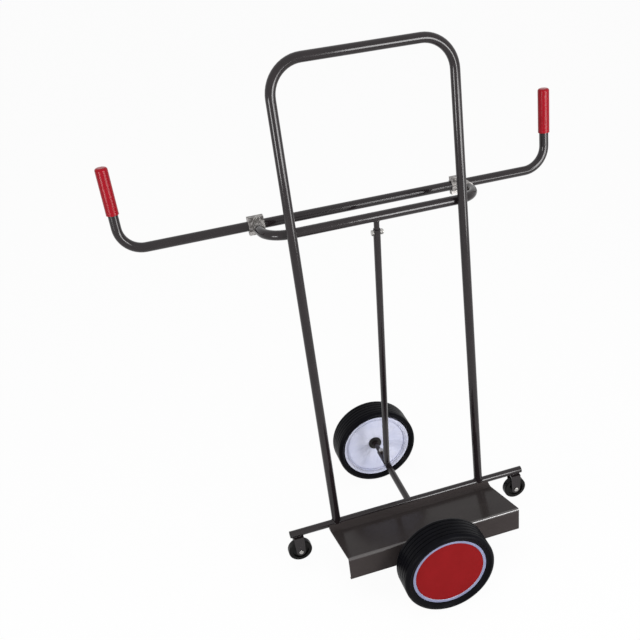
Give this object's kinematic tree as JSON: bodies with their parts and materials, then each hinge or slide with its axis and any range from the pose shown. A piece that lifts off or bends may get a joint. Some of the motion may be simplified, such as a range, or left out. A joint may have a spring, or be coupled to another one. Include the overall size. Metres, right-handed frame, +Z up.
{
  "type": "panel hand truck",
  "caption": "Panel hand truck: leaning tube frame on in-line wheels with a bent sheet tray, a braced bracket with a clamped handlebar and small side casters.",
  "frame": {"origin": "on the floor, under the middle of the outline", "axes": "+Z up, +X along the caster bar to the right, +Y to the back, along the line of the two large wheels"},
  "size_m": [1.191, 0.712, 1.4347],
  "materials": {
    "powder_coat": "glossy anthracite powder coat",
    "tray_coat": "glossy anthracite powder coat on bent sheet",
    "galvanised": "mottled galvanised steel",
    "bright_zinc": "bright zinc plate",
    "red_grip": "glossy red soft plastic",
    "red_cap": "satin dark red plastic",
    "pale_plastic": "satin pale plastic",
    "dark_plastic": "satin black plastic",
    "tyre": "black grooved rubber",
    "caster_rubber": "black solid rubber"
  },
  "bodies": {
    "truck": {"back_frame": "powder_coat", "caster_bar": "powder_coat", "left_bar_plug": "dark_plastic", "right_bar_plug": "dark_plastic", "tray": "tray_coat", "axle_tube": "powder_coat", "axle": "powder_coat", "front_axle_tube": "powder_coat", "front_axle": "powder_coat", "handle_bracket": "powder_coat", "brace": "powder_coat", "brace_stub": "powder_coat", "brace_bolt": "bright_zinc", "brace_nut": "bright_zinc", "axle_bolt": "bright_zinc", "left_clamp_saddle": "galvanised", "left_clamp_cap": "galvanised", "left_clamp_upper_bolt": "bright_zinc", "left_clamp_upper_nut": "bright_zinc", "left_clamp_lower_bolt": "bright_zinc", "left_clamp_lower_nut": "bright_zinc", "right_clamp_saddle": "galvanised", "right_clamp_cap": "galvanised", "right_clamp_upper_bolt": "bright_zinc", "right_clamp_upper_nut": "bright_zinc", "right_clamp_lower_bolt": "bright_zinc", "right_clamp_lower_nut": "bright_zinc", "front_spacer": "powder_coat", "front_retainer": "bright_zinc", "rear_spacer": "powder_coat", "rear_retainer": "bright_zinc", "left_fork": "powder_coat", "left_caster_pin": "bright_zinc", "right_fork": "powder_coat", "right_caster_pin": "bright_zinc"},
    "handle": {"handlebar": "powder_coat", "left_grip": "red_grip", "right_grip": "red_grip"},
    "front_wheel": {"front_tyre": "tyre", "front_rim": "pale_plastic", "front_hub_cap": "red_cap", "front_bush": "dark_plastic"},
    "rear_wheel": {"rear_tyre": "tyre", "rear_rim": "pale_plastic", "rear_hub_cap": "red_cap", "rear_bush": "dark_plastic"},
    "left_caster": {"left_caster_wheel": "caster_rubber"},
    "right_caster": {"right_caster_wheel": "caster_rubber"}
  },
  "joints": [
    {"name": "handlebar_tilt", "type": "hinge", "parent": "truck", "child": "handle", "pos_m": [0, 0.16911, 1.00417], "axis": [1, 0, 0], "range_deg": [-90, 90]},
    {"name": "front_wheel_roll", "type": "hinge", "parent": "truck", "child": "front_wheel", "pos_m": [0.047, -0.3135, 0.13], "axis": [0, 1, 0], "continuous": true},
    {"name": "rear_wheel_roll", "type": "hinge", "parent": "truck", "child": "rear_wheel", "pos_m": [0.047, 0.3135, 0.13], "axis": [0, 1, 0], "continuous": true},
    {"name": "left_caster_roll", "type": "hinge", "parent": "truck", "child": "left_caster", "pos_m": [-0.299, -0.0225, 0.0695], "axis": [0, 1, 0], "continuous": true},
    {"name": "right_caster_roll", "type": "hinge", "parent": "truck", "child": "right_caster", "pos_m": [0.393, -0.0225, 0.0695], "axis": [0, 1, 0], "continuous": true}
  ]
}
